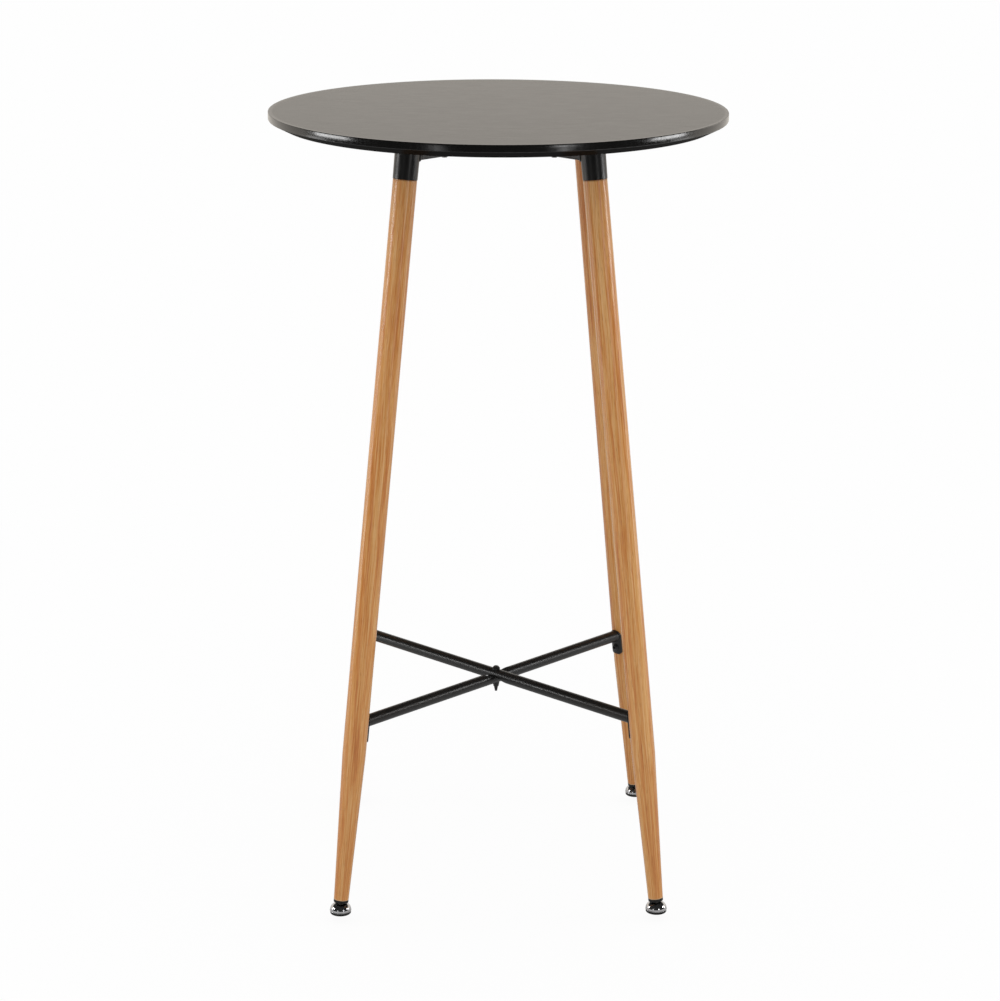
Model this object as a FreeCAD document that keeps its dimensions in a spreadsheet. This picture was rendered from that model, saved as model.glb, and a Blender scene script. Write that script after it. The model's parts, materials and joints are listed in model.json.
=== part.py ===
import FreeCAD, Part
import math
import os
import Sketcher

# Round bar table on four splayed legs, with crossed bars low down and levelling feet.
# The origin is on the floor under the middle of the top, +Z is up, and +X runs to the
# right along the front. Lengths are in millimetres and angles in degrees.

sizes = {
    # whole table
    "table_height": 1040,
    "neck_spread": 163.8,  # from the middle to a leg's axis, level with the underside of the top
    "foot_spread": 297.2,  # from the middle to the ball in a foot
    "overrun": 5,  # how far a cutting shape runs past what it cuts
    "hole_slack": 0.3,  # around a screw in a plain hole
    "thread_slack": 0.05,  # around a screw in its thread
    "crown_share": 0.6,  # flat middle of a screw head, of its whole width
    "head_band_share": 0.34,  # upright part of a low screw head, of its height
    "drive_radius": 2.31,  # middle to corner of the hexagon socket in each head
    "drive_depth": 1.8,
    # table top
    "top_diameter": 600,
    "top_thick": 18,
    "rim_height": 9.3,  # upright band of the edge
    "rim_undercut": 17.5,  # how far the bevel below the band runs in
    "rim_round": 0.8,
    # bolts up into the top, and their inserts
    "bolt_spread": 100,
    "bolt_radius": 3,
    "bolt_bite": 10,
    "bolt_head_radius": 5.75,
    "bolt_head_height": 3.2,
    "insert_radius": 4.5,
    "insert_length": 12,
    # crossed frame under the top
    "arm_width": 25,
    "arm_depth": 30,
    "arm_wall": 1.5,
    "arm_corner": 2.5,
    # sockets at the ends of the frame
    "socket_length": 53.5,
    "socket_top_radius": 16.6,
    "socket_mouth_radius": 15.9,
    "socket_wall": 1.5,
    "lock_rise": 15,  # from the socket's mouth to the screw that locks the leg
    # legs
    "leg_radius": 15.5,
    "leg_tip_radius": 9.85,
    "leg_wall": 1.5,
    "leg_taper": 199,
    "leg_edge": 0.6,
    "neck_length": 45,
    "neck_slack": 0.05,
    # screws into the legs, and their nuts
    "screw_radius": 3,
    "screw_reach": 10,
    "screw_head_radius": 4.9,
    "screw_head_height": 3,
    "nut_radius": 4.5,
    "nut_length": 12,
    "nut_bulge": 1.1,
    "nut_bulge_length": 2.4,
    "nut_bulge_depth": 3.2,
    # crossbars
    "bar_radius": 8,
    "bar_wall": 1.2,
    "bar_height": 259.5,  # floor to where the two bars touch
    "bar_offset": 1.8,  # of each bar's axis above or below that
    "bar_gap": 0.1,
    "press_half": 26,  # half of the length that is pressed in
    "press_flat_half": 9,
    "press_round": 9,  # at the ends of the flat
    "plate_width": 17,
    "plate_thick": 2.3,
    "plate_drop": 27.5,  # from the bar's axis to the plate's lower end
    "plate_corner": 4,
    "plate_screw_drop": 17,
    # screw through the crossing
    "middle_screw_radius": 2.9,
    "middle_head_radius": 5.3,
    "middle_head_height": 4.8,
    "middle_band_share": 0.5,  # upright part of this higher head, of its height
    "middle_seat_depth": 0.8,
    "middle_tip_radius": 1.6,
    "middle_tip_length": 7,
    "middle_reach": 22,  # from where the bars touch down to the screw's tip
    "collar_radius": 4.9,
    "collar_mouth_radius": 3.7,
    "collar_length": 5,
    # feet
    "ball_height": 9,
    "ball_radius": 4.5,
    "ball_slack": 0.1,
    "stem_radius": 4,
    "stem_length": 28,
    "stem_neck_radius": 2.6,
    "stem_point": 0.9,
    "stem_collar_radius": 5,
    "stem_collar_height": 1.8,
    "stop_gap": 0.3,  # left above the collar when the foot is screwed right in
    "swivel_gap": 0.4,  # between the bell and what is above it
    "bell_radius": 14,
    "bell_top_radius": 6.3,
    "bell_top": 14,
    "bell_band": 1,
    "bell_wall": 0.9,
    "bell_hole_radius": 3.9,
    "pad_radius": 13.8,
    "pad_thick": 3.8,
    "pad_round": 1.3,
    "pad_boss_radius": 7.4,
    "pad_boss_rise": 3,  # above the middle of the ball
    # plug in the leg's end, and its threaded sleeve
    "plug_ring_height": 4.2,
    "plug_ring_round": 1,
    "plug_depth": 20,
    "plug_slack": 0.05,
    "plug_recess_radius": 5.6,
    "sleeve_radius": 5.5,
    "sleeve_length": 16,
}

doc = FreeCAD.newDocument("bar_table")
sheet = doc.addObject("Spreadsheet::Sheet", "sizes")
for row, (name, number) in enumerate(sizes.items(), start=1):
    sheet.set("A%d" % row, name)
    sheet.set("B%d" % row, str(number))
    sheet.setAlias("B%d" % row, name)
doc.recompute()


# A size is a number together with the expression over the sheet that gives it.
class Size:
    def __init__(self, number, text=None):
        self.number = float(number)
        self.text = text if text else str(number)

    def joined(self, sign, other, number):
        return Size(number, "(%s %s %s)" % (self.text, sign, other.text))

    def __add__(self, other):
        other = as_size(other)
        return self.joined("+", other, self.number + other.number)

    def __sub__(self, other):
        other = as_size(other)
        return self.joined("-", other, self.number - other.number)

    def __mul__(self, other):
        other = as_size(other)
        return self.joined("*", other, self.number * other.number)

    def __truediv__(self, other):
        other = as_size(other)
        return self.joined("/", other, self.number / other.number)

    def __radd__(self, other):
        return as_size(other) + self

    def __rsub__(self, other):
        return as_size(other) - self

    def __rmul__(self, other):
        return as_size(other) * self

    def __rtruediv__(self, other):
        return as_size(other) / self

    def __neg__(self):
        return as_size(0) - self


def as_size(value):
    return value if isinstance(value, Size) else Size(value)


def root(value):
    return Size(math.sqrt(value.number), "sqrt(%s)" % value.text)


class Sheet:
    pass


of = Sheet()
for name in sizes:
    setattr(of, name, Size(float(sheet.get(name)), "sizes." + name))

# The line of a leg's axis: its slope, and the sine and cosine of its lean.
underside = of.table_height - of.top_thick
lean_slope = (of.foot_spread - of.neck_spread) / (underside - of.ball_height)
lean_stretch = root(1 + lean_slope * lean_slope)
lean_cos = 1 / lean_stretch
lean_sin = lean_slope / lean_stretch
top_radius = of.top_diameter / 2

# The corners, counterclockwise from above, with their directions from the middle.
corner_names = ("front_left", "front_right", "rear_right", "rear_left")
corner_angles = {corner: (225 + 90 * i) % 360 for i, corner in enumerate(corner_names)}
upper_bar_corners = ("front_right", "rear_left")
lower_bar_corners = ("front_left", "rear_right")


# Placements are texts too, so that every place follows the sheet.
def move(x, y, z):
    x, y, z = as_size(x), as_size(y), as_size(z)
    return "placement(vector(%s; %s; %s); rotation(vector(0; 0; 1); 0))" % (x.text, y.text, z.text)


def turn(angle, axis=(0, 0, 1)):
    text = angle if isinstance(angle, str) else "%d" % angle
    return "placement(vector(0; 0; 0); rotation(vector(%d; %d; %d); %s))" % (*axis, text)


def leg_frame(corner):
    # On the leg's axis, from the middle of the foot's ball: z runs up the leg, x outwards.
    tilt = turn("-atan(%s)" % lean_slope.text, (0, 1, 0))
    return [turn(corner_angles[corner]), move(of.foot_spread, 0, of.ball_height), tilt]


def foot_frame(corner):
    return [turn(corner_angles[corner]), move(of.foot_spread, 0, 0)]


def inward_frame(corner, along):
    # z runs from the leg's axis towards the middle of the table.
    return leg_frame(corner) + [move(0, 0, along), turn(-90, (0, 1, 0))]


def along_leg(height, out):
    # Distance up the leg's axis of a point at this height, out from the axis by the given amount.
    return (height - of.ball_height - out * lean_sin) / lean_cos


def place(thing, frame):
    thing.setExpression("Placement", " * ".join(frame))
    return thing


# Plain solids bound to the sheet.
def cylinder(name, radius, height, frame):
    solid = doc.addObject("Part::Cylinder", name)
    solid.setExpression("Radius", radius.text)
    solid.setExpression("Height", height.text)
    return place(solid, frame)


def cone(name, low_radius, high_radius, height, frame):
    solid = doc.addObject("Part::Cone", name)
    solid.setExpression("Radius1", low_radius.text)
    solid.setExpression("Radius2", high_radius.text)
    solid.setExpression("Height", height.text)
    return place(solid, frame)


def block(name, length, width, height, frame):
    solid = doc.addObject("Part::Box", name)
    solid.setExpression("Length", length.text)
    solid.setExpression("Width", width.text)
    solid.setExpression("Height", height.text)
    return place(solid, frame)


def joined(name, solids):
    group = doc.addObject("Part::MultiFuse", name)
    group.Shapes = solids
    return group


def cut(name, base, tools):
    result = doc.addObject("Part::Cut", name)
    result.Base = base
    result.Tool = tools[0] if len(tools) == 1 else joined(name + "_tools", tools)
    return result


def shared(name, first, second):
    result = doc.addObject("Part::Common", name)
    result.Base = first
    result.Tool = second
    return result


def group(name, solids):
    result = doc.addObject("Part::Compound", name)
    result.Links = solids
    return result


def hexagon(name, height, frame):
    solid = doc.addObject("Part::Prism", name)
    solid.Polygon = 6
    solid.setExpression("Circumradius", of.drive_radius.text)
    solid.setExpression("Height", height.text)
    return place(solid, frame)


def bind(sketch, kind, edge, point, size):
    bound = sketch.addConstraint(Sketcher.Constraint(kind, -1, 1, edge, point, size.number))
    sketch.setExpression("Constraints[%d]" % bound, size.text)


# A closed outline in a sketch. Corners are pairs of sizes. The edge that leaves corner i is
# straight, or an arc of less than half a turn round the centre that arcs[i] gives.
def draw(sketch, corners, arcs=None):
    arcs = {i: [as_size(size) for size in centre] for i, centre in (arcs or {}).items()}
    corners = [[as_size(size) for size in corner] for corner in corners]
    spots = [FreeCAD.Vector(x.number, y.number, 0) for x, y in corners]
    first = sketch.GeometryCount
    ends = []
    for i, start in enumerate(spots):
        end = spots[(i + 1) % len(spots)]
        if i in arcs:
            centre = FreeCAD.Vector(arcs[i][0].number, arcs[i][1].number, 0)
            left = (start - centre).cross(end - centre).z > 0
            circle = Part.Circle(centre, FreeCAD.Vector(0, 0, 1), (start - centre).Length)
            angles = [math.atan2(spot.y - centre.y, spot.x - centre.x)
                      for spot in ((start, end) if left else (end, start))]
            sketch.addGeometry(Part.ArcOfCircle(circle, *angles), False)
            ends.append((1, 2) if left else (2, 1))
        else:
            sketch.addGeometry(Part.LineSegment(start, end), False)
            ends.append((1, 2))
    for i, start in enumerate(spots):
        j = (i + 1) % len(spots)
        sketch.addConstraint(Sketcher.Constraint("Coincident", first + i, ends[i][1], first + j, ends[j][0]))
        bind(sketch, "DistanceX", first + i, ends[i][0], corners[i][0])
        bind(sketch, "DistanceY", first + i, ends[i][0], corners[i][1])
        if i in arcs:
            # The ends are known, so one coordinate settles where the centre lies between them.
            along = spots[j] - start
            if abs(along.x) > abs(along.y):
                bind(sketch, "DistanceY", first + i, 3, arcs[i][1])
            else:
                bind(sketch, "DistanceX", first + i, 3, arcs[i][0])


def sketch_on(body, role):
    sketch = body.newObject("Sketcher::SketchObject", body.Name + "_outline")
    plane = [part for part in body.Origin.OriginFeatures if part.Role == role][0]
    sketch.AttachmentSupport = (plane, [""])
    sketch.MapMode = "FlatFace"
    return sketch


def turned(name, corners, frame, arcs=None):
    # Corners are pairs of radius and height.
    body = doc.addObject("PartDesign::Body", name)
    sketch = sketch_on(body, "XZ_Plane")
    draw(sketch, corners, arcs)
    solid = body.newObject("PartDesign::Revolution", name + "_turned")
    solid.Profile = sketch
    solid.ReferenceAxis = (sketch, ["V_Axis"])
    solid.Angle = 360
    body.Tip = solid
    return place(body, frame)


def pushed(name, loops, length, frame, back=False):
    # Loops of corners across the piece, drawn in y and z and pushed out along x.
    body = doc.addObject("PartDesign::Body", name)
    sketch = sketch_on(body, "YZ_Plane")
    for corners, arcs in loops:
        draw(sketch, corners, arcs)
    solid = body.newObject("PartDesign::Pad", name + "_pushed")
    solid.Profile = sketch
    solid.Reversed = back
    solid.setExpression("Length", length.text)
    body.Tip = solid
    return place(body, frame)


def round_rectangle(width, low, high, radius):
    # Counterclockwise from the lower left, with four rounded corners.
    half = width / 2
    corners = [(-half + radius, low), (half - radius, low), (half, low + radius), (half, high - radius),
               (half - radius, high), (-half + radius, high), (-half, high - radius), (-half, low + radius)]
    arcs = {1: (half - radius, low + radius), 3: (half - radius, high - radius),
            5: (-half + radius, high - radius), 7: (-half + radius, low + radius)}
    return corners, arcs


pieces = {}


def keep(name, solid):
    solid.Label = name
    pieces[name] = solid
    return solid


# Table top: a board with an upright band over a bevel, and blind holes for the inserts.
def make_top():
    low_radius = top_radius - of.rim_undercut
    band_foot = of.table_height - of.rim_height
    rise = band_foot - underside
    bevel = root(rise * rise + of.rim_undercut * of.rim_undercut)
    out_share = of.rim_undercut / bevel
    up_share = rise / bevel
    # How far the roundings at the two ends of the bevel run from their corners.
    low_run = of.rim_round * (1 - out_share) / up_share
    high_run = of.rim_round * (1 - up_share) / out_share
    corners = [(0, underside), (low_radius - low_run, underside),
               (low_radius + low_run * out_share, underside + low_run * up_share),
               (top_radius - high_run * out_share, band_foot - high_run * up_share),
               (top_radius, band_foot + high_run), (top_radius, of.table_height - of.rim_round),
               (top_radius - of.rim_round, of.table_height), (0, of.table_height)]
    arcs = {1: (low_radius - low_run, underside + of.rim_round),
            3: (top_radius - of.rim_round, band_foot + high_run),
            5: (top_radius - of.rim_round, of.table_height - of.rim_round)}
    board = turned("board", corners, [move(0, 0, 0)], arcs)
    holes = []
    inserts = []
    for corner, angle in corner_angles.items():
        frame = [turn(angle), move(of.bolt_spread, 0, underside)]
        holes.append(cylinder("insert_hole_" + corner, of.insert_radius, of.insert_length, frame))
        thread = of.bolt_radius + of.thread_slack
        corners = [(thread, 0), (of.insert_radius, 0), (of.insert_radius, of.insert_length),
                   (thread, of.insert_length)]
        inserts.append(turned("insert_" + corner, corners, frame))
    keep("table_top", cut("top_drilled", board, holes))
    keep("top_inserts", group("insert_group", inserts))


# Bolts from under the arms into the inserts.
def make_bolts():
    bolts = []
    for corner, angle in corner_angles.items():
        frame = [turn(angle), move(of.bolt_spread, 0, underside)]
        seat = -of.arm_depth
        head_foot = seat - of.bolt_head_height
        crown = of.bolt_head_radius * of.crown_share
        corners = [(0, head_foot), (crown, head_foot),
                   (of.bolt_head_radius, seat - of.bolt_head_height * of.head_band_share),
                   (of.bolt_head_radius, seat),
                   (of.bolt_radius, seat), (of.bolt_radius, of.bolt_bite), (0, of.bolt_bite)]
        blank = turned("bolt_blank_" + corner, corners, frame)
        drive = hexagon("bolt_drive_" + corner, of.drive_depth + of.overrun,
                        frame + [move(0, 0, head_foot - of.overrun)])
        bolts.append(cut("bolt_" + corner, blank, [drive]))
    keep("frame_bolts", group("bolt_group", bolts))


# Sockets: slightly conical tubes on the legs' axes, trimmed level with the underside of the top.
socket_top = (underside - of.ball_height) / lean_cos
socket_mouth = socket_top - of.socket_length
socket_bore = of.socket_mouth_radius - of.socket_wall
socket_flare = (of.socket_top_radius - of.socket_mouth_radius) / of.socket_length
lock_along = socket_mouth + of.lock_rise


def make_socket(corner):
    length = of.socket_length + of.overrun
    frame = leg_frame(corner) + [move(0, 0, socket_mouth)]
    outside = cone("socket_cone_" + corner, of.socket_mouth_radius,
                   of.socket_mouth_radius + length * socket_flare, length, frame)
    bore = cylinder("socket_bore_" + corner, socket_bore, length, frame)
    reach = of.socket_top_radius + of.overrun
    trim = block("socket_trim_" + corner, 2 * reach, 2 * reach, 2 * of.overrun,
                 [turn(corner_angles[corner]), move(of.neck_spread - reach, -reach, underside)])
    hole = cylinder("socket_hole_" + corner, of.screw_radius + of.hole_slack,
                    of.socket_top_radius + of.overrun, inward_frame(corner, lock_along))
    keep("socket_" + corner, cut("socket_cut_" + corner, outside, [bore, trim, hole]))
    return outside


# Square tubes of the frame, each cut to the sockets that it meets.
def square_tube(name, length, frame):
    outer = round_rectangle(of.arm_width, underside - of.arm_depth, underside, of.arm_corner)
    inner = round_rectangle(of.arm_width - 2 * of.arm_wall, underside - of.arm_depth + of.arm_wall,
                            underside - of.arm_wall, of.arm_corner - of.arm_wall)
    return pushed(name, [outer, inner], length, frame)


def bolt_hole(corner):
    frame = [turn(corner_angles[corner]), move(of.bolt_spread, 0, underside - of.arm_depth - of.overrun)]
    return cylinder("bolt_hole_" + corner, of.bolt_radius + of.hole_slack,
                    of.arm_depth + 2 * of.overrun, frame)


def make_frame(cones):
    ends = ("front_left", "rear_right")
    tube = square_tube("long_tube", 2 * of.neck_spread,
                       [turn(corner_angles["rear_right"]), move(-of.neck_spread, 0, 0)])
    keep("frame_tube_long", cut("long_tube_cut", tube, [cones[end] for end in ends]
                                + [bolt_hole(end) for end in ends]))
    for corner in ("front_right", "rear_left"):
        start = of.arm_width / 2
        tube = square_tube("short_tube_" + corner, of.neck_spread - start,
                           [turn(corner_angles[corner]), move(start, 0, 0)])
        keep("frame_tube_" + corner, cut("short_tube_cut_" + corner, tube,
                                         [cones[corner], bolt_hole(corner)]))


# Feet: the heights at which the plug's ring and the stem's collar clear the tilted bell.
def clear_of_bell(radius):
    return (of.bell_top - of.ball_height + of.swivel_gap + radius * lean_sin) / lean_cos


ring_foot = clear_of_bell(of.plug_recess_radius)
leg_end = ring_foot + of.plug_ring_height
collar_foot = clear_of_bell(of.stem_collar_radius)
collar_top = collar_foot + of.stem_collar_height
sleeve_foot = collar_top + of.stop_gap

# Crossbars: where each bar meets its legs.
upper_bar = of.bar_height + of.bar_offset
lower_bar = of.bar_height - of.bar_offset
plate_radius = of.leg_radius + of.plate_thick
head_seat = upper_bar + of.bar_radius - of.middle_seat_depth


def bar_axis(corner):
    return upper_bar if corner in upper_bar_corners else lower_bar


def bar_along(corner):
    return along_leg(bar_axis(corner), -of.leg_radius)


# Legs: round tubes, tapered to the foot, stepped down to a neck inside the socket.
def make_leg(corner):
    neck = socket_bore - of.neck_slack
    taper_top = leg_end + of.leg_taper
    neck_top = socket_mouth + of.neck_length
    wall = of.leg_wall
    corners = [(of.leg_tip_radius, leg_end), (of.leg_radius, taper_top),
               (of.leg_radius, socket_mouth - of.leg_edge), (of.leg_radius - of.leg_edge, socket_mouth),
               (neck, socket_mouth), (neck, neck_top), (neck - wall, neck_top),
               (neck - wall, socket_mouth - wall), (of.leg_radius - wall, socket_mouth - wall),
               (of.leg_radius - wall, taper_top), (of.leg_tip_radius - wall, leg_end)]
    tube = turned("leg_tube_" + corner, corners, leg_frame(corner))
    reach = of.leg_radius + of.overrun
    nut_holes = [cylinder("leg_hole_" + corner, of.nut_radius, reach,
                          inward_frame(corner, bar_along(corner) - of.plate_screw_drop)),
                 cylinder("neck_hole_" + corner, of.nut_radius, reach, inward_frame(corner, lock_along))]
    keep("leg_" + corner, cut("leg_cut_" + corner, tube, nut_holes))


# Screws that run towards a leg's axis, with nuts clenched in the leg's wall.
def make_screw(name, corner, along, seat, face):
    crown = of.screw_head_radius * of.crown_share
    band_top = seat + of.screw_head_height * of.head_band_share
    top = seat + of.screw_head_height
    corners = [(0, face - of.screw_reach), (of.screw_radius, face - of.screw_reach), (of.screw_radius, seat),
               (of.screw_head_radius, seat), (of.screw_head_radius, band_top),
               (crown, top), (0, top)]
    frame = inward_frame(corner, along)
    blank = turned(name + "_blank", corners, frame)
    drive = hexagon(name + "_drive", of.drive_depth + of.overrun, frame + [move(0, 0, top - of.drive_depth)])
    return cut(name, blank, [drive])


def make_nut(name, corner, along, face):
    # Its outer end is flush with the round of the tube that it sits in.
    bore = of.screw_radius + of.thread_slack
    bulge_top = face - of.nut_bulge_depth
    bulge_foot = bulge_top - of.nut_bulge_length
    past = face + of.overrun
    corners = [(bore, face - of.nut_length), (of.nut_radius, face - of.nut_length),
               (of.nut_radius, bulge_foot), (of.nut_radius + of.nut_bulge, (bulge_foot + bulge_top) / 2),
               (of.nut_radius, bulge_top), (of.nut_radius, past), (bore, past)]
    blank = turned(name + "_blank", corners, inward_frame(corner, along))
    beside = of.nut_radius + of.nut_bulge + of.overrun
    tube = cylinder(name + "_tube", face, 2 * beside, leg_frame(corner) + [move(0, 0, along - beside)])
    return shared(name, blank, tube)


def make_fixings():
    plate_screws, leg_nuts, lock_screws, neck_nuts = [], [], [], []
    neck = socket_bore - of.neck_slack
    lock_seat = of.socket_mouth_radius + (of.lock_rise + of.screw_head_radius) * socket_flare
    for corner in corner_angles:
        along = bar_along(corner) - of.plate_screw_drop
        plate_screws.append(make_screw("plate_screw_" + corner, corner, along, plate_radius, of.leg_radius))
        leg_nuts.append(make_nut("leg_nut_" + corner, corner, along, of.leg_radius))
        lock_screws.append(make_screw("lock_screw_" + corner, corner, lock_along, lock_seat, neck))
        neck_nuts.append(make_nut("neck_nut_" + corner, corner, lock_along, neck))
    keep("crossbar_screws", group("plate_screw_group", plate_screws))
    keep("leg_nuts", group("leg_nut_group", leg_nuts))
    keep("socket_screws", group("lock_screw_group", lock_screws))
    keep("neck_nuts", group("neck_nut_group", neck_nuts))


# End plates of the crossbars, curved to lie on the legs.
def make_plate(corner):
    centre = bar_along(corner)
    half = of.plate_width / 2
    low = centre - of.plate_drop
    corners = [(-half + of.plate_corner, low), (half - of.plate_corner, low), (half, low + of.plate_corner),
               (half, centre), (0, centre + half), (-half, centre), (-half, low + of.plate_corner)]
    arcs = {1: (half - of.plate_corner, low + of.plate_corner), 3: (0, centre), 4: (0, centre),
            6: (-half + of.plate_corner, low + of.plate_corner)}
    blank = pushed("plate_blank_" + corner, [(corners, arcs)], 2 * of.leg_radius, leg_frame(corner), True)
    frame = leg_frame(corner) + [move(0, 0, low - of.overrun)]
    height = of.plate_drop + half + 2 * of.overrun
    shell = cut("plate_shell_" + corner, cylinder("plate_outside_" + corner, plate_radius, height, frame),
                [cylinder("plate_inside_" + corner, of.leg_radius, height, frame)])
    hole = cylinder("plate_hole_" + corner, of.screw_radius + of.hole_slack, plate_radius + of.overrun,
                    inward_frame(corner, centre - of.plate_screw_drop))
    return cut("plate_" + corner, shared("plate_curved_" + corner, blank, shell), [hole])


# A bar's outer or inner form: a round rod, pressed in where the other bar passes. The dent is
# flat in the middle, and slopes out to the round through an arc at each end of the flat.
def bar_form(name, corners, thin, side):
    axis = bar_axis(corners[0])
    radius = of.bar_radius - thin
    reach = of.foot_spread - (axis - of.ball_height) * lean_slope
    frame = [turn(corner_angles[corners[0]]), move(0, 0, axis)]
    rod = cylinder(name + "_rod", radius, 2 * reach, frame + [move(-reach, 0, 0), turn(90, (0, 1, 0))])
    flat = of.bar_offset - of.bar_gap / 2 - thin
    run = of.press_half - of.press_flat_half
    fall = radius - flat
    slope = root(run * run + fall * fall)
    # How far the arc runs along the flat and along the slope from where these two would meet.
    arc_run = of.press_round * fall / (slope + run)
    foot = radius + of.overrun
    half = of.press_half + of.overrun * run / fall
    outline = [(-half, -foot), (half, -foot),
               (of.press_flat_half + arc_run * run / slope, -flat - arc_run * fall / slope),
               (of.press_flat_half - arc_run, -flat), (-of.press_flat_half + arc_run, -flat),
               (-of.press_flat_half - arc_run * run / slope, -flat - arc_run * fall / slope)]
    arcs = {2: (of.press_flat_half - arc_run, -flat - of.press_round),
            4: (-of.press_flat_half + arc_run, -flat - of.press_round)}
    across = frame + [turn(90), move(-foot, 0, 0)] + ([] if side > 0 else [turn(180, (1, 0, 0))])
    return cut(name, rod, [pushed(name + "_press", [(outline, arcs)], 2 * foot, across)])


def make_bar(name, corners, side):
    outside = bar_form(name + "_outside", corners, as_size(0), side)
    inside = bar_form(name + "_inside", corners, of.bar_wall, side)
    past = of.bar_radius + plate_radius
    ends = [cylinder("%s_end_%s" % (name, corner), plate_radius, 2 * past,
                     leg_frame(corner) + [move(0, 0, bar_along(corner) - past)])
            for corner in corners]
    hole_foot = of.bar_height - of.middle_reach
    hole = cylinder(name + "_hole", of.middle_screw_radius + of.thread_slack,
                    of.middle_reach + 2 * of.bar_radius, [move(0, 0, hole_foot)])
    tools = ends + [hole]
    if side > 0:
        tools.append(cylinder(name + "_seat", of.middle_head_radius + of.hole_slack,
                              of.middle_seat_depth + of.overrun, [move(0, 0, head_seat)]))
        shell = cut(name + "_shell", outside, [inside])
    else:
        foot = lower_bar - of.bar_radius - of.collar_length
        collar = cone(name + "_collar", of.collar_mouth_radius, of.collar_radius,
                      of.collar_length + of.bar_wall, [move(0, 0, foot)])
        shell = joined(name + "_shell", [cut(name + "_hollow", outside, [inside]), collar])
    keep(name, cut(name + "_cut", shell, tools))
    keep(name + "_plates", group(name + "_plate_group", [make_plate(corner) for corner in corners]))


def make_middle_screw():
    tip = of.bar_height - of.middle_reach
    crown = of.middle_head_radius * of.crown_share
    top = head_seat + of.middle_head_height
    band_top = head_seat + of.middle_head_height * of.middle_band_share
    corners = [(0, tip), (of.middle_tip_radius, tip), (of.middle_screw_radius, tip + of.middle_tip_length),
               (of.middle_screw_radius, head_seat), (of.middle_head_radius, head_seat),
               (of.middle_head_radius, band_top), (crown, top), (0, top)]
    blank = turned("middle_screw_blank", corners, [move(0, 0, 0)])
    drive = hexagon("middle_screw_drive", of.drive_depth + of.overrun, [move(0, 0, top - of.drive_depth)])
    keep("crossbar_middle_screw", cut("middle_screw", blank, [drive]))


# Plug in the leg's end, with a ring below the tube and a recess for the stem's collar.
def make_plug(corner):
    body = of.leg_tip_radius - of.leg_wall - of.plug_slack
    top = leg_end + of.plug_depth
    sleeve_top = sleeve_foot + of.sleeve_length
    bore = of.stem_radius + of.hole_slack
    corners = [(of.plug_recess_radius, ring_foot), (of.leg_tip_radius - of.plug_ring_round, ring_foot),
               (of.leg_tip_radius, ring_foot + of.plug_ring_round), (of.leg_tip_radius, leg_end),
               (body, leg_end), (body, top), (bore, top), (bore, sleeve_top), (of.sleeve_radius, sleeve_top),
               (of.sleeve_radius, sleeve_foot), (of.plug_recess_radius, sleeve_foot)]
    arcs = {1: (of.leg_tip_radius - of.plug_ring_round, ring_foot + of.plug_ring_round)}
    keep("leg_plug_" + corner, turned("plug_" + corner, corners, leg_frame(corner), arcs))


def make_sleeves():
    thread = of.stem_radius + of.thread_slack
    top = sleeve_foot + of.sleeve_length
    corners = [(thread, sleeve_foot), (of.sleeve_radius, sleeve_foot), (of.sleeve_radius, top), (thread, top)]
    keep("plug_sleeves", group("sleeve_group", [turned("sleeve_" + corner, corners, leg_frame(corner))
                                                for corner in corner_angles]))


# Threaded stem, with a collar that stops it and a ball that sits in the pad.
def make_stem(corner):
    ball_top = root(of.ball_radius * of.ball_radius - of.stem_neck_radius * of.stem_neck_radius)
    top = collar_top + of.stem_length
    corners = [(0, -of.ball_radius), (of.ball_radius, 0), (of.stem_neck_radius, ball_top),
               (of.stem_neck_radius, collar_foot), (of.stem_collar_radius, collar_foot),
               (of.stem_collar_radius, collar_top), (of.stem_radius, collar_top),
               (of.stem_radius, top - of.stem_point), (of.stem_radius - of.stem_point, top), (0, top)]
    arcs = {0: (0, 0), 1: (0, 0)}
    keep("glide_stem_" + corner, turned("stem_" + corner, corners, leg_frame(corner), arcs))


# Bell: a thin domed shell, its flank an arc that starts upright at the rim.
def make_bell(corner):
    def flank_centre(rim, high):
        in_by = rim - of.bell_top_radius
        up_by = high - band_top
        return rim - (in_by * in_by + up_by * up_by) / (2 * in_by), band_top
    wall = of.bell_wall
    band_top = of.pad_thick + of.bell_band
    inner_rim = of.bell_radius - wall
    inner_top = of.bell_top - wall
    corners = [(inner_rim, of.pad_thick), (of.bell_radius, of.pad_thick), (of.bell_radius, band_top),
               (of.bell_top_radius, of.bell_top), (of.bell_hole_radius, of.bell_top),
               (of.bell_hole_radius, inner_top), (of.bell_top_radius, inner_top), (inner_rim, band_top)]
    arcs = {2: flank_centre(of.bell_radius, of.bell_top), 6: flank_centre(inner_rim, inner_top)}
    keep("glide_bell_" + corner, turned("bell_" + corner, corners, foot_frame(corner), arcs))


# Pad: a disc with a boss that holds the ball past its middle.
def make_pad(corner):
    cup = of.ball_radius + of.ball_slack
    boss_top = of.ball_height + of.pad_boss_rise
    mouth = root(cup * cup - of.pad_boss_rise * of.pad_boss_rise)
    corners = [(0, 0), (of.pad_radius - of.pad_round, 0), (of.pad_radius, of.pad_round),
               (of.pad_radius, of.pad_thick), (of.pad_boss_radius, of.pad_thick),
               (of.pad_boss_radius, boss_top), (mouth, boss_top), (cup, of.ball_height),
               (0, of.ball_height - cup)]
    arcs = {1: (of.pad_radius - of.pad_round, of.pad_round), 6: (0, of.ball_height), 7: (0, of.ball_height)}
    keep("glide_pad_" + corner, turned("pad_" + corner, corners, foot_frame(corner), arcs))


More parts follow.
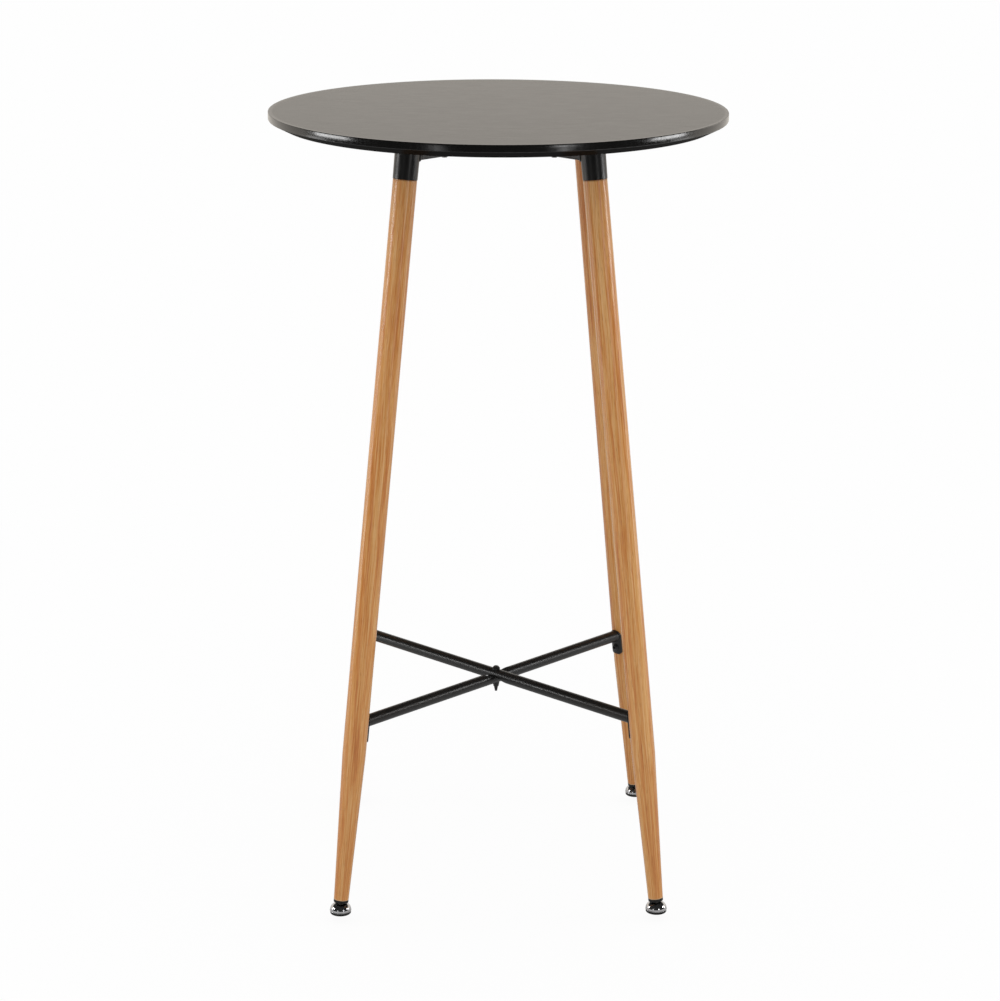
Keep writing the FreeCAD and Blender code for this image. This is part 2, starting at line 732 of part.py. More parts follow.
make_top()
make_bolts()
make_frame({corner: make_socket(corner) for corner in corner_angles})
for corner in corner_angles:
    make_leg(corner)
make_fixings()
make_bar("crossbar_upper", upper_bar_corners, 1)
make_bar("crossbar_lower", lower_bar_corners, -1)
make_middle_screw()
for corner in corner_angles:
    make_plug(corner)
make_sleeves()
for corner in corner_angles:
    make_stem(corner)
    make_bell(corner)
    make_pad(corner)
doc.recompute()

for thing in doc.Objects:
    if "Invalid" in thing.State or "Error" in thing.State:
        raise RuntimeError("%s is not made: %s" % (thing.Name, thing.State))
for name, thing in pieces.items():
    if thing.Shape.isNull() or not thing.Shape.isValid() or not thing.Shape.Solids:
        raise RuntimeError("%s has no valid shape" % name)

os.makedirs("parts", exist_ok=True)
for name, thing in pieces.items():
    thing.Shape.exportStep("parts/%s.step" % name)
    box = thing.Shape.BoundBox
    print("%-26s solids %d volume %9.1f mm3 z %.2f to %.2f" % (
        name, len(thing.Shape.Solids), thing.Shape.Volume, box.ZMin, box.ZMax))
print("legs lean %.2f degrees, %d pieces" % (math.degrees(math.atan(lean_slope.number)), len(pieces)))
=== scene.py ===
import json
import math

import bmesh
import bpy
from mathutils import Matrix, Vector


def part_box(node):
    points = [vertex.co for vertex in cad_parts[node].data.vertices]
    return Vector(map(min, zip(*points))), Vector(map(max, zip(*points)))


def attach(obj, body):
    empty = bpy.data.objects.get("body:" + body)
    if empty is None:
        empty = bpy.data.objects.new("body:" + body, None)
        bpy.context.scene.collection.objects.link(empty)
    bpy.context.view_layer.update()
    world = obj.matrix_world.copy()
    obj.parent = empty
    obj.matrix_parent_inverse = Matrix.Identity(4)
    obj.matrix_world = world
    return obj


# Round bar table with oak-look legs and a black top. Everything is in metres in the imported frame:
# the origin is on the floor under the middle of the top, +X is to the right and +Y to the rear.

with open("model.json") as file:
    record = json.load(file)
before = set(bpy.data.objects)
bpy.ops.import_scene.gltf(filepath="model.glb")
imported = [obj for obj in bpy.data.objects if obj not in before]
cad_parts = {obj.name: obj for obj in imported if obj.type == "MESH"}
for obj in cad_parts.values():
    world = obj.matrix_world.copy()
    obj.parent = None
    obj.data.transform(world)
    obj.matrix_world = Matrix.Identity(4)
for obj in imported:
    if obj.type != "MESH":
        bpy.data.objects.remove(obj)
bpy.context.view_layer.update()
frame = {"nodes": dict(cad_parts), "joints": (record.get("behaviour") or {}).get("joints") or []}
nodes = frame["nodes"]
corners = ("front_left", "front_right", "rear_right", "rear_left")
millimetre = 0.001
middle = (0.35, 0.65)  # where most of a smooth noise lies
wide = (0.3, 0.7)  # and most of a rough one

# Each foot turns about its leg's axis, so the hinges give the lines of the legs.
hinges = {joint["name"]: joint for joint in frame["joints"]}
ballPlace = {corner: Vector(hinges["stem_" + corner + "_turn"]["pos_m"]) for corner in corners}
legUp = {corner: -Vector(hinges["stem_" + corner + "_turn"]["axis"]) for corner in corners}
outward = {corner: Vector((*ballPlace[corner].xy, 0)).normalized() for corner in corners}
footSpread = Vector(ballPlace["front_left"][:2]).length
ballHeight = ballPlace["front_left"].z
leanCos = legUp["front_left"].z
leanSlope = math.sqrt(1 - leanCos ** 2) / leanCos


# How far up the leg's axis a node starts, measured from the middle of the foot's ball.
def lowestUp(corner, name):
    points = nodes[name + corner].data.vertices
    return min((point.co - ballPlace[corner]).dot(legUp[corner]) for point in points)


legEnds = {corner: lowestUp(corner, "leg_") for corner in corners}
socketEnds = {corner: lowestUp(corner, "socket_") for corner in corners}
print("frame loaded with", len(nodes), "nodes")


# A shader socket that can stand in a sum. Numbers beside it become Math nodes.
class Wire:
    def __init__(self, finish, socket):
        self.finish = finish
        self.socket = socket

    def sum(self, operation, first, second):
        return self.finish.add("ShaderNodeMath", {"operation": operation}, {0: first, 1: second})

    def __add__(self, other):
        return self.sum("ADD", self, other)

    def __radd__(self, other):
        return self.sum("ADD", other, self)

    def __sub__(self, other):
        return self.sum("SUBTRACT", self, other)

    def __rsub__(self, other):
        return self.sum("SUBTRACT", other, self)

    def __mul__(self, other):
        return self.sum("MULTIPLY", self, other)

    def __rmul__(self, other):
        return self.sum("MULTIPLY", other, self)


# The nodes of one material or world.
class Finish:
    def __init__(self, owner):
        owner.use_nodes = True
        self.owner = owner
        self.nodes = owner.node_tree.nodes
        self.links = owner.node_tree.links
        self.nodes.clear()

    def add(self, kind, settings=None, values=None, out=0):
        node = self.nodes.new(kind)
        for name, setting in (settings or {}).items():
            if name == "stops":
                self.setStops(node.color_ramp.elements, setting)
            else:
                setattr(node, name, setting)
        for name, value in (values or {}).items():
            socket = node.inputs[name]
            if isinstance(value, Wire):
                self.links.new(value.socket, socket)
            elif socket.type == "RGBA":
                socket.default_value = (*value, 1)
            else:
                socket.default_value = value
        return Wire(self, node.outputs[out]) if node.outputs else node

    def setStops(self, elements, stops):
        while len(elements) < len(stops):
            elements.new(1)
        for element, (spot, colour) in zip(elements, stops):
            element.position = spot
            element.color = (*colour, 1)

    def mixed(self, share, first, second):
        return self.add("ShaderNodeMix", {"data_type": "RGBA"}, {0: share, 6: first, 7: second}, out=2)

    def ramp(self, value, stops):
        return self.add("ShaderNodeValToRGB", {"stops": stops}, {"Fac": value})

    def spread(self, value, low, high, toLow=0, toHigh=1):
        return self.add("ShaderNodeMapRange", {"interpolation_type": "SMOOTHSTEP"}, {
            "Value": value, "From Min": low, "From Max": high, "To Min": toLow, "To Max": toHigh})

    def scaled(self, vector, factors):
        return self.add("ShaderNodeVectorMath", {"operation": "MULTIPLY"}, {0: vector, 1: factors})

    def noise(self, vector, scale, detail=2, rough=0.5):
        return self.add("ShaderNodeTexNoise", {}, {
            "Vector": vector, "Scale": scale, "Detail": detail, "Roughness": rough})

    def split(self, vector):
        parts = self.add("ShaderNodeSeparateXYZ", {}, {"Vector": vector}).socket.node
        return [Wire(self, socket) for socket in parts.outputs]

    def place(self):
        return self.add("ShaderNodeTexCoord", out="Object")

    def bump(self, height, depth, strength=1):
        return self.add("ShaderNodeBump", {}, {
            "Height": height, "Distance": depth, "Strength": strength})

    def coat(self, values):
        return self.add("ShaderNodeBsdfPrincipled", {}, values)

    def done(self, shader):
        self.add("ShaderNodeOutputMaterial", {}, {"Surface": shader})
        return self.owner

    def surface(self, values):
        return self.done(self.coat(values))


def newFinish(name):
    return Finish(bpy.data.materials.new(name))


def paint(material, *names):
    for name in names:
        for slot in nodes[name].material_slots:
            slot.material = material


# Black lacquer of the top. The band round the edge is glossy and slightly crowned, the face above it
# is satin, and the bevel below it is nearly matt.
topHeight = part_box("table_top")[1].z
lacquer = {
    "dark": (0.0032, 0.0030, 0.0028),
    "light": (0.0056, 0.0053, 0.0049),
    "roughness": (0.15, 0.2),
    "bandHeight": 0.0093,
    "crownRise": 0.0041,  # from the band's foot to where it stands upright
    "crownTurn": 24,  # how fast the crown leans back, in radians a metre
    "faceGloss": 0.66,
    "rimGloss": 0.12,  # the face is this much glossier where it meets the rim
    "rimStart": (0.293, 0.297),
    "bandGloss": 1.0,
    "bevelGloss": 0.05,
    "mattRoughness": 0.6,
    "edge": 0.0006,  # height over which one part's gloss goes over into the next
    "peel": 0.006,  # orange peel, in millimetres
    "peelScale": 420,
    "cloudScale": 9,
    "scuffScale": 38,
    "scuffStretch": (1, 14, 1),
}
bandFoot = topHeight - lacquer["bandHeight"]


def makeLacquer():
    finish = newFinish("top_lacquer_finish")
    place = finish.place()
    height = finish.split(place)[2]
    onBand = finish.spread(height, bandFoot - lacquer["edge"], bandFoot + lacquer["edge"])
    onFace = finish.spread(height, topHeight - lacquer["edge"], topHeight - lacquer["edge"] / 6)
    flat = finish.scaled(place, (1, 1, 0))
    radius = finish.add("ShaderNodeVectorMath", {"operation": "LENGTH"}, {0: flat}, out=1)
    faceGloss = lacquer["faceGloss"] + finish.spread(radius, *lacquer["rimStart"]) * lacquer["rimGloss"]
    gloss = (lacquer["bevelGloss"] + onBand * (lacquer["bandGloss"] - lacquer["bevelGloss"])
             + onFace * (faceGloss - lacquer["bandGloss"]))
    cloud = finish.noise(place, lacquer["cloudScale"], detail=3, rough=0.6)
    stretched = finish.scaled(place, lacquer["scuffStretch"])
    scuffs = finish.noise(stretched, lacquer["scuffScale"], detail=3, rough=0.65)
    colour = finish.mixed(cloud, lacquer["dark"], lacquer["light"])
    # Relief in millimetres: the crown leans back evenly, so its height is a parabola.
    rise = finish.add("ShaderNodeMath", {"operation": "MAXIMUM"}, {0: height, 1: bandFoot})
    rise = rise - (bandFoot + lacquer["crownRise"])
    crown = rise * rise * (-lacquer["crownTurn"] / 2 / millimetre)
    peel = finish.noise(place, lacquer["peelScale"]) * lacquer["peel"]
    glossy = finish.coat({
        "Base Color": colour,
        "Roughness": finish.spread(scuffs, *middle, *lacquer["roughness"]),
        "Normal": finish.bump(crown + peel, millimetre),
    })
    matt = finish.coat({
        "Base Color": colour,
        "Roughness": lacquer["mattRoughness"],
        "Specular IOR Level": 0,
    })
    return finish.done(finish.add("ShaderNodeMixShader", {}, {0: gloss, 1: matt, 2: glossy}))


# Powder coat on the frame, sockets, crossbars and plates: satin black with a fine orange peel.
powder = {
    "dark": (0.0042, 0.0041, 0.0039),
    "light": (0.0075, 0.0073, 0.0069),
    "roughness": (0.3, 0.37),
    "gloss": 0.4,
    "peelScale": 700,
    "peelDepth": 0.0000025,
    "cloudScale": 45,
}


def makePowder():
    finish = newFinish("black_powder_coat")
    place = finish.place()
    peel = finish.noise(place, powder["peelScale"], rough=0.55)
    cloud = finish.noise(place, powder["cloudScale"], detail=3, rough=0.6)
    return finish.surface({
        "Base Color": finish.mixed(cloud, powder["dark"], powder["light"]),
        "Roughness": finish.spread(cloud, *middle, *powder["roughness"]),
        "Specular IOR Level": powder["gloss"],
        "Normal": finish.bump(peel, powder["peelDepth"]),
    })


# Printed oak film on the legs. It is unrolled round each leg, with the seam on the inner side.
oak = {
    "brown": (0.400, 0.136, 0.031),
    "red": (0.475, 0.183, 0.044),
    "mid": (0.525, 0.243, 0.070),
    "gold": (0.600, 0.335, 0.128),
    "pore": (0.240, 0.085, 0.022),
    "shade": (0.120, 0.050, 0.020),
    "bands": (110, 3, 1),  # how often the grain changes round the leg and along it, in steps a metre
    "streaks": (540, 11, 1),
    "fibres": (1100, 30, 1),
    "pores": (1300, 70, 1),
    "shares": (0.34, 0.42, 0.24),  # of bands, streaks and fibres in the tone
    "stops": (0.4, 0.452, 0.507, 0.605),  # tones of brown, red, mid and gold
    "wander": (30, 4, 1),
    "wanderWidth": 0.01,
    "pieceShift": 0.37,  # each leg shows another piece of the print
    "poreStart": (0.6, 0.72),
    "poreShare": 0.5,
    "radius": 0.0155,
    "cutEdge": (0.0009, 0.00054),  # above the leg's foot, where the bare steel shows
    "steel": (0.50, 0.33, 0.19),
    "socketShade": 0.003,  # how far the painted shadow line reaches down from the socket
    "shadeShare": 0.7,
    "roughStart": (0.35, 0.7),
    "roughness": (0.22, 0.3),
    "reliefShares": (0.6, 0.4),  # streaks rise and pores sink
    "reliefDepth": 0.00004,
    "reliefStrength": 0.6,
}


# Turns z up the leg and x outwards from the middle of the table.
def legTurn(corner):
    side = legUp[corner].cross(outward[corner]).normalized()
    return Matrix((side.cross(legUp[corner]), side, legUp[corner])).transposed()


def legSpace(finish, corner):
    return finish.add("ShaderNodeMapping", {"vector_type": "TEXTURE"}, {
        "Vector": finish.place(),
        "Location": ballPlace[corner],
        "Rotation": legTurn(corner).to_euler(),
    })


def makeOak(corner, number):
    finish = newFinish("oak_film_" + corner)
    x, y, along = finish.split(legSpace(finish, corner))
    angle = finish.add("ShaderNodeMath", {"operation": "ARCTAN2"}, {0: y, 1: x})
    film = finish.add("ShaderNodeCombineXYZ", {}, {
        "X": angle * oak["radius"], "Y": along, "Z": oak["pieceShift"] * number})
    wander = finish.noise(finish.scaled(film, oak["wander"]), 1)
    bent = finish.add("ShaderNodeCombineXYZ", {}, {
        "X": angle * oak["radius"] + wander * oak["wanderWidth"],
        "Y": along,
        "Z": oak["pieceShift"] * number,
    })
    bands = finish.noise(finish.scaled(bent, oak["bands"]), 1)
    streaks = finish.noise(finish.scaled(bent, oak["streaks"]), 1, detail=3, rough=0.6)
    fibres = finish.noise(finish.scaled(film, oak["fibres"]), 1, rough=0.6)
    bandShare, streakShare, fibreShare = oak["shares"]
    tone = bands * bandShare + streaks * streakShare + fibres * fibreShare
    woods = (oak[name] for name in ("brown", "red", "mid", "gold"))
    colour = finish.ramp(tone, list(zip(oak["stops"], woods)))
    pores = finish.noise(finish.scaled(film, oak["pores"]), 1)
    pores = finish.spread(pores, *oak["poreStart"])
    colour = finish.mixed(pores * oak["poreShare"], colour, oak["pore"])
    # Painted shadow: the film is darkened just below the socket, where the socket's rim shades it.
    shade = finish.spread(along, socketEnds[corner] - oak["socketShade"], socketEnds[corner])
    colour = finish.mixed(shade * oak["shadeShare"], colour, oak["shade"])
    cutEdge = finish.spread(along, *(legEnds[corner] + height for height in oak["cutEdge"]))
    streakRelief, poreRelief = oak["reliefShares"]
    relief = streaks * streakRelief - pores * poreRelief
    return finish.surface({
        "Base Color": finish.mixed(cutEdge, colour, oak["steel"]),
        "Roughness": finish.spread(streaks, *oak["roughStart"], *oak["roughness"]),
        "Normal": finish.bump(relief, oak["reliefDepth"], oak["reliefStrength"]),
    })


# Bright plating on the bells.
chrome = {
    "colour": (0.62, 0.62, 0.63),
    "smudge": (0.5, 0.5, 0.51),
    "smudgeScale": 170,
    "smudgeStart": (0.4, 0.75),
    "roughness": (0.09, 0.15),
    "rippleScale": 60,
    "rippleDepth": 0.0001,
    "rippleStrength": 0.4,
}


def makeChrome():
    finish = newFinish("bell_chrome")
    cloud = finish.noise(finish.place(), chrome["smudgeScale"], detail=3, rough=0.6)
    ripple = finish.noise(finish.place(), chrome["rippleScale"], detail=1)
    return finish.surface({
        "Base Color": finish.mixed(cloud, chrome["smudge"], chrome["colour"]),
        "Metallic": 1,
        "Roughness": finish.spread(cloud, *chrome["smudgeStart"], *chrome["roughness"]),
        "Normal": finish.bump(ripple, chrome["rippleDepth"], chrome["rippleStrength"]),
    })


# Zinc-plated steel of the inserts, nuts, sleeves and stems. The stems get their thread as relief.
zinc = {
    "dull": (0.36, 0.35, 0.33),
    "bright": (0.58, 0.57, 0.54),
    "roughness": (0.28, 0.42),
    "grainScale": 500,
    "grainDepth": 0.00002,
    "grainStrength": 0.5,
    "pitch": 0.00125,
    "threadDepth": 0.0006,
    "threadStart": (-0.0005, 0.0001),  # from the leg's end
}


def makeZinc(name, corner=None):
    finish = newFinish(name)
    grain = finish.noise(finish.place(), zinc["grainScale"], detail=3, rough=0.6)
    relief = finish.bump(grain, zinc["grainDepth"], zinc["grainStrength"])
    if corner:
        x, y, along = finish.split(legSpace(finish, corner))
        angle = finish.add("ShaderNodeMath", {"operation": "ARCTAN2"}, {0: y, 1: x})
        turns = along * (math.tau / zinc["pitch"]) - angle
        crest = finish.add("ShaderNodeMath", {"operation": "SINE"}, {0: turns})
        threaded = finish.spread(along, *(legEnds[corner] + height for height in zinc["threadStart"]))
        relief = finish.bump(crest * threaded, zinc["threadDepth"] / 2)
    return finish.surface({
        "Base Color": finish.mixed(grain, zinc["dull"], zinc["bright"]),
        "Metallic": 1,
        "Roughness": finish.spread(grain, *wide, *zinc["roughness"]),
        "Normal": relief,
    })


# Blackened steel of the screws and bolts.
blacking = {
    "dark": (0.012, 0.012, 0.013),
    "rubbed": (0.05, 0.049, 0.047),
    "metal": 0.5,
    "rubStart": (0.45, 0.8),
    "roughness": (0.3, 0.45),
    "grainScale": 650,
    "grainDepth": 0.00003,
    "grainStrength": 0.5,
}


def makeBlacking():
    finish = newFinish("blackened_steel")
    grain = finish.noise(finish.place(), blacking["grainScale"], detail=3, rough=0.65)
    rubbed = finish.spread(grain, *blacking["rubStart"])
    return finish.surface({
        "Base Color": finish.mixed(rubbed, blacking["dark"], blacking["rubbed"]),
        "Metallic": blacking["metal"],
        "Roughness": finish.spread(grain, *wide, *blacking["roughness"]),
        "Normal": finish.bump(grain, blacking["grainDepth"], blacking["grainStrength"]),
    })


# Moulded black plastic of the plugs and pads.
plastic = {
    "plug": {
        "dark": (0.0045, 0.0044, 0.0044),
        "light": (0.0085, 0.0083, 0.0082),
        "roughness": (0.36, 0.5),
    },
    "pad": {
        "dark": (0.0045, 0.0043, 0.0042),
        "light": (0.011, 0.0105, 0.01),
        "roughness": (0.5, 0.68),
    },
    "gloss": 0.3,
    "grainScale": 1500,
    "grainDepth": 0.00004,
    "grainStrength": 0.6,
    "cloudScale": 120,
}


def makePlastic(name, look):
    finish = newFinish(name)
    grain = finish.noise(finish.place(), plastic["grainScale"])
    cloud = finish.noise(finish.place(), plastic["cloudScale"])
    return finish.surface({
        "Base Color": finish.mixed(cloud, look["dark"], look["light"]),
        "Roughness": finish.spread(grain, *wide, *look["roughness"]),
        "Specular IOR Level": plastic["gloss"],
        "Normal": finish.bump(grain, plastic["grainDepth"], plastic["grainStrength"]),
    })


paint(makeLacquer(), "table_top")
powderCoat = makePowder()
paint(powderCoat, "frame_tube_long", "frame_tube_front_right", "frame_tube_rear_left", "crossbar_upper",
      "crossbar_lower", "crossbar_upper_plates", "crossbar_lower_plates",
      *("socket_" + corner for corner in corners))
bellChrome = makeChrome()
plugPlastic = makePlastic("plug_plastic", plastic["plug"])
padPlastic = makePlastic("pad_plastic_finish", plastic["pad"])
for number, corner in enumerate(corners):
    paint(makeOak(corner, number), "leg_" + corner)
    paint(bellChrome, "glide_bell_" + corner)
    paint(plugPlastic, "leg_plug_" + corner)
    paint(padPlastic, "glide_pad_" + corner)
    paint(makeZinc("stem_zinc_" + corner, corner), "glide_stem_" + corner)
paint(makeZinc("zinc_plate"), "top_inserts", "leg_nuts", "neck_nuts", "plug_sleeves")
paint(makeBlacking(), "frame_bolts", "crossbar_screws", "socket_screws", "crossbar_middle_screw")
print("finishes made")


def finishPiece(name, mesh, material, body):
    data = bpy.data.meshes.new(name)
    mesh.to_mesh(data)
    mesh.free()
    for face in data.polygons:
        face.use_smooth = True
    data.materials.append(material)
    piece = bpy.data.objects.new(name, data)
    bpy.context.scene.collection.objects.link(piece)
    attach(piece, body)
    return piece


# A line of weld metal: a round bead along these points, with the ripples that welding leaves.
weldMetal = {"sides": 10, "ripple": 0.0016, "rippleHeight": 0.09}


def beadAlong(name, points, radius, body, closed=False, ripple=weldMetal["ripple"]):
    mesh = bmesh.new()
    rings = []
    travelled = 0
    count = len(points)
    sides = weldMetal["sides"]
    for i, point in enumerate(points):
        before = points[i - 1] if i or closed else point
        after = points[(i + 1) % count] if i < count - 1 or closed else point
        ahead = (after - before).normalized()
        travelled += (point - before).length if i else 0
        side = side - ahead * side.dot(ahead) if rings else ahead.orthogonal()
        side = side.normalized()
        up = ahead.cross(side)
        size = radius * (1 + weldMetal["rippleHeight"] * math.sin(travelled / ripple * math.tau))
        turns = [math.tau * k / sides for k in range(sides)]
        spots = [point + side * (size * math.cos(turn)) + up * (size * math.sin(turn))
                 for turn in turns]
        rings.append([mesh.verts.new(spot) for spot in spots])
    pairs = zip(rings, rings[1:] + rings[:1]) if closed else zip(rings, rings[1:])
    for low, high in pairs:
        shift = 0
        if closed and high is rings[0]:
            shift = min(range(sides), key=lambda s: (high[s].co - low[0].co).length)
        for k in range(sides):
            following = (k + 1) % sides
            mesh.faces.new((low[k], low[following],
                            high[(following + shift) % sides], high[(k + shift) % sides]))
    if not closed:
        mesh.faces.new(rings[0][::-1])
        mesh.faces.new(rings[-1])
    bmesh.ops.recalc_face_normals(mesh, faces=mesh.faces)
    return finishPiece(name, mesh, powderCoat, body)


def cornerPoint(corner, out, across, height):
    side = Vector((0, 0, 1)).cross(outward[corner])
    return outward[corner] * out + side * across + Vector((0, 0, height))


def legAxisOut(height):
    return footSpread - (height - ballHeight) * leanSlope


# Where a line towards the leg's axis meets a round surface of this radius about the axis.
def meetRound(corner, radius, across, height):
    out = legAxisOut(height) - math.sqrt(radius ** 2 - across ** 2) / leanCos
    return cornerPoint(corner, out, across, height)


# Welds between the arms and the sockets, and where the arms cross.
armWeld = {
    "armWidth": 0.025,
    "armRound": 0.0025,
    "socketRadius": 0.0164,
    "bead": 0.0017,
    "belowBoard": 0.00204,  # the bead ends this far below the arm's top
    "steps": 22,
    "roundSteps": 5,
}


# Down one side of the tube, along below it and up the other side.
def uShape(low, high):
    width, rounding, steps = (armWeld[name] for name in ("armWidth", "armRound", "steps"))
    half = width / 2
    turns = [math.pi / 2 * i / armWeld["roundSteps"] for i in range(armWeld["roundSteps"] + 1)]
    points = [(-half, high + (low + rounding - high) * i / steps) for i in range(steps)]
    points += [(-half + rounding * (1 - math.cos(turn)), low + rounding * (1 - math.sin(turn)))
               for turn in turns]
    points += [(-half + rounding + (width - 2 * rounding) * i / steps, low) for i in range(1, steps)]
    points += [(half - rounding * (1 - math.sin(turn)), low + rounding * (1 - math.cos(turn)))
               for turn in turns]
    points += [(half, low + rounding + (high - low - rounding) * i / steps)
               for i in range(1, steps + 1)]
    return points


def makeArmWelds():
    low, high = (corner.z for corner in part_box("frame_tube_long"))
    outline = uShape(low, high - armWeld["belowBoard"])
    for corner in corners:
        points = [meetRound(corner, armWeld["socketRadius"], *spot) for spot in outline]
        beadAlong("socket_weld_" + corner, points, armWeld["bead"], "table")
    for corner in ("front_right", "rear_left"):
        points = [cornerPoint(corner, armWeld["armWidth"] / 2, *spot) for spot in outline]
        beadAlong("arm_weld_" + corner, points, armWeld["bead"], "table")


# Welds between the crossbars' ends and their plates.
barWeld = {"barRadius": 0.008, "plateRadius": 0.0178, "bead": 0.0011, "steps": 72}


def makeBarWelds():
    for name, ends in (("crossbar_upper", ("front_right", "rear_left")),
                       ("crossbar_lower", ("front_left", "rear_right"))):
        radius = barWeld["barRadius"]
        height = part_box(name)[1].z - radius
        turns = [math.tau * i / barWeld["steps"] for i in range(barWeld["steps"])]
        outline = [(radius * math.cos(turn), height + radius * math.sin(turn)) for turn in turns]
        for corner in ends:
            points = [meetRound(corner, barWeld["plateRadius"], *spot) for spot in outline]
            beadAlong("plate_weld_" + corner, points, barWeld["bead"], "table", closed=True)


makeArmWelds()
makeBarWelds()
print("welds made")


# Rolled rims at the feet of the bells.
bellRim = {
    "radius": 0.01385,
    "height": 0.0044,
    "thick": 0.00055,
    "ripple": 10,  # metres, so none shows
    "steps": 64,
}


def makeBellRims():
    turns = [math.tau * i / bellRim["steps"] for i in range(bellRim["steps"])]
    circle = [Vector((math.cos(turn), math.sin(turn), 0)) * bellRim["radius"] for turn in turns]
    for corner in corners:
        centre = Vector((*ballPlace[corner].xy, bellRim["height"]))
        points = [centre + spot for spot in circle]
        rim = beadAlong("bell_rim_" + corner, points, bellRim["thick"], "foot_" + corner, closed=True,
                        ripple=bellRim["ripple"])
        rim.data.materials[0] = bellChrome


makeBellRims()
print("bell rims made")


# Studio: a pale floor that fades into the white behind it and keeps a faint shadow, and a room that is
# white behind the table and dim on the camera's side.
studio = {
    "white": 0.991,
    "floorRadius": 2.6,
    "floorSides": 96,
    "floorHeight": -0.0102,  # just below the pads when the feet are screwed out all the way
    "floorColour": (0.53, 0.53, 0.53),
    "floorFade": (0.7, 1.9),  # between these distances from the middle the shadow fades away
    "shadowShare": 0.1,
    "shadowLift": 0.4,  # what the matt floor falls short of white
    "mirrorShare": 0.1,
    "roomLight": 0.96,
    "roomMirrored": 0.025,
    "backdrop": (1.0, 0.935, 0.85),
    "backdropTurn": (0.12, 0.42),  # how far behind the table the backdrop starts
    "backdropTop": (0.55, 0.3),
}


# Camera rays, and the rays that carry reflections and see through.
def rays(finish):
    path = finish.add("ShaderNodeLightPath").socket.node
    kinds = {name: Wire(finish, path.outputs[name])
             for name in ("Is Camera Ray", "Is Glossy Ray", "Is Transmission Ray")}
    return kinds["Is Camera Ray"], kinds["Is Glossy Ray"] + kinds["Is Transmission Ray"]


def makeWorld():
    world = bpy.data.worlds.new("studio_room")
    bpy.context.scene.world = world
    finish = Finish(world)
    camera, mirrored = rays(finish)
    back, up = finish.split(finish.add("ShaderNodeTexCoord", out="Generated"))[1:]
    behind = finish.spread(back, *studio["backdropTurn"]) * finish.spread(up, *studio["backdropTop"])
    room = finish.add("ShaderNodeBackground", {}, {
        "Color": (1, 1, 1),
        "Strength": studio["roomLight"] - mirrored * (studio["roomLight"] - studio["roomMirrored"])})
    backdrop = finish.add("ShaderNodeBackground", {}, {"Color": studio["backdrop"], "Strength": 1})
    white = finish.add("ShaderNodeBackground", {}, {"Color": (1, 1, 1), "Strength": studio["white"]})
    lit = finish.add("ShaderNodeMixShader", {}, {0: mirrored * behind, 1: room, 2: backdrop})
    shown = finish.add("ShaderNodeMixShader", {}, {0: camera, 1: lit, 2: white})
    finish.add("ShaderNodeOutputWorld", {}, {"Surface": shown})


def makeFloor():
    mesh = bmesh.new()
    bmesh.ops.create_circle(
        mesh, cap_ends=True, segments=studio["floorSides"], radius=studio["floorRadius"])
    data = bpy.data.meshes.new("floor")
    mesh.to_mesh(data)
    mesh.free()
    floor = bpy.data.objects.new("floor", data)
    floor.location.z = studio["floorHeight"]
    bpy.context.scene.collection.objects.link(floor)
    finish = newFinish("pale_floor")
    camera, mirrored = rays(finish)
    distance = finish.add("ShaderNodeVectorMath", {"operation": "LENGTH"}, {0: finish.place()}, out=1)
    kept = finish.spread(distance, *studio["floorFade"], studio["shadowShare"], 0)
    matt = finish.add("ShaderNodeBsdfDiffuse", {}, {"Color": studio["floorColour"]})
    white = finish.add("ShaderNodeEmission", {}, {
        "Color": (1, 1, 1), "Strength": studio["white"] + kept * studio["shadowLift"]})
    share = camera * (1 - kept) + mirrored * studio["mirrorShare"]
    shown = finish.add("ShaderNodeMixShader", {}, {0: share, 1: matt, 2: white})
    finish.add("ShaderNodeOutputMaterial", {}, {"Surface": shown})
    data.materials.append(finish.owner)


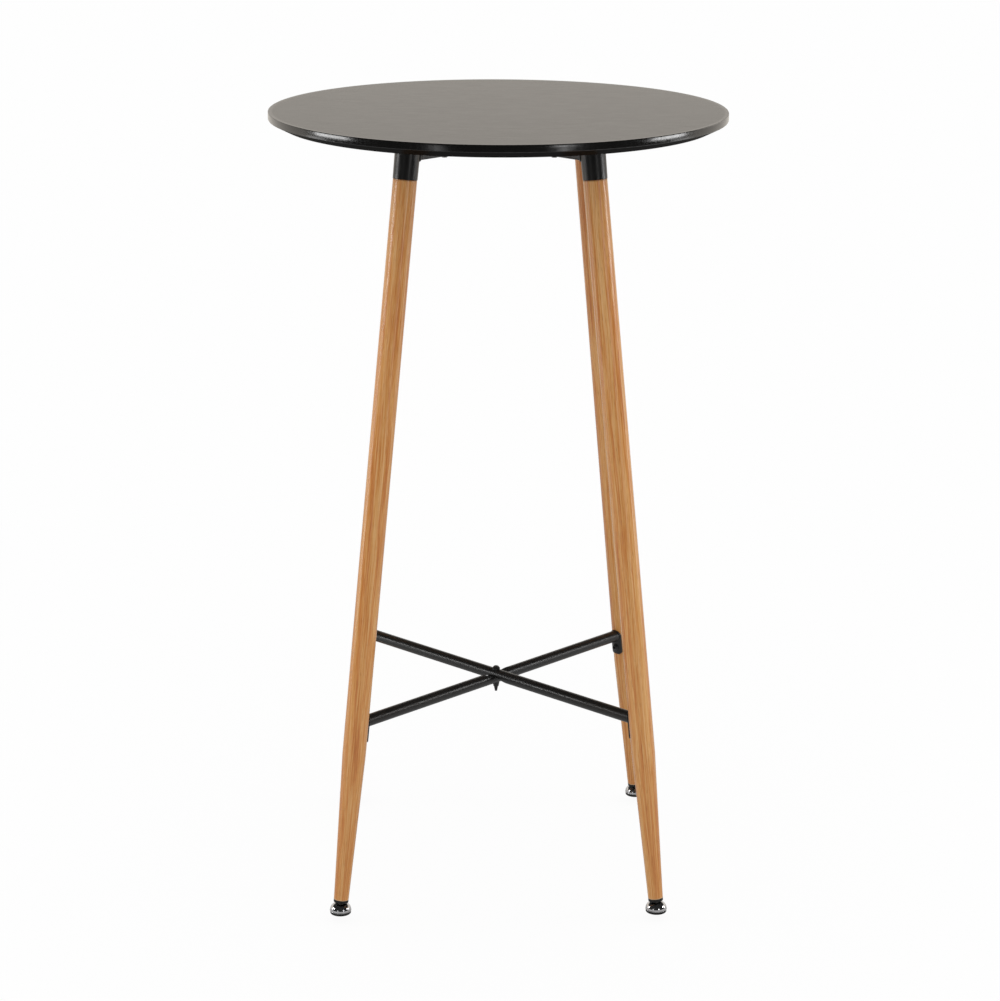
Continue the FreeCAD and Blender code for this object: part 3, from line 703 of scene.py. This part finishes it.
# Soft lamps: where they stand, what they face, their width and height, and how bright they look. The
# one overhead isn't mirrored in the finishes, because the photo's bells and bars are black on top.
lamps = {
    "left_low": {
        "place": (-2.05, 0.25, 0.36),
        "aim": (0, 0, 0.36),
        "size": (0.5, 0.6),
        "glow": 2.9,
    },
    "right_low": {
        "place": (2.05, 0.2, 0.36),
        "aim": (0, 0, 0.36),
        "size": (0.5, 0.6),
        "glow": 2.3,
    },
    "left_mid": {
        "place": (-2.1, -0.18, 0.91),
        "aim": (0, 0, 0.91),
        "size": (0.8, 0.24),
        "glow": 13,
    },
    "right_mid": {
        "place": (2.1, -0.18, 0.91),
        "aim": (0, 0, 0.91),
        "size": (0.8, 0.24),
        "glow": 13,
    },
    "front_left": {
        "place": (-1.5, -2.6, 0.52),
        "aim": (0, 0, 0.52),
        "size": (0.3, 1),
        "glow": 1.8,
    },
    "front_right": {
        "place": (1.5, -2.6, 0.4),
        "aim": (0, 0, 0.4),
        "size": (0.3, 0.75),
        "glow": 3.2,
    },
    "front_right_mid": {
        "place": (1.45, -2.6, 0.95),
        "aim": (0, 0, 0.95),
        "size": (0.5, 0.16),
        "glow": 9,
    },
    "overhead": {
        "place": (0, 0, 3.2),
        "aim": (0, 0, 0),
        "size": (2.4, 2.4),
        "glow": 0.9,
        "mirrored": False,
    },
}


def makeLamps():
    for name, lamp in lamps.items():
        light = bpy.data.lights.new(name, "AREA")
        light.shape = "RECTANGLE"
        light.size, light.size_y = lamp["size"]
        light.energy = lamp["glow"] * math.pi * lamp["size"][0] * lamp["size"][1]
        stand = bpy.data.objects.new(name, light)
        stand.location = lamp["place"]
        ahead = Vector(lamp["aim"]) - stand.location
        stand.rotation_euler = ahead.to_track_quat("-Z", "Y").to_euler()
        stand.visible_camera = False
        stand.visible_glossy = lamp.get("mirrored", True)
        bpy.context.scene.collection.objects.link(stand)


# The camera stands in front, a little to the left, and looks down on the table.
cameraPlace = {
    "place": (-0.0819, -3.7364, 1.5721),
    "heading": 0.02308,
    "down": 0.27687,
    "roll": 0.00452,
    "lens": 103.26,
    "sensor": 36,
}


def makeCamera():
    lens = bpy.data.cameras.new("photo_camera")
    lens.sensor_fit = "HORIZONTAL"
    lens.sensor_width = cameraPlace["sensor"]
    lens.lens = cameraPlace["lens"]
    camera = bpy.data.objects.new("photo_camera", lens)
    heading, down, roll = (cameraPlace[name] for name in ("heading", "down", "roll"))
    ahead = Vector((math.sin(heading) * math.cos(down), math.cos(heading) * math.cos(down),
                    -math.sin(down)))
    right = Vector((math.cos(heading), -math.sin(heading), 0))
    up = right.cross(ahead)
    right, up = (right * math.cos(roll) + up * math.sin(roll),
                 up * math.cos(roll) - right * math.sin(roll))
    turn = Matrix((right, up, -ahead)).transposed()
    camera.matrix_world = Matrix.Translation(cameraPlace["place"]) @ turn.to_4x4()
    bpy.context.scene.collection.objects.link(camera)
    bpy.context.scene.camera = camera


makeWorld()
makeFloor()
makeLamps()
makeCamera()
bpy.context.scene.view_settings.view_transform = "Standard"
print("studio and camera made")
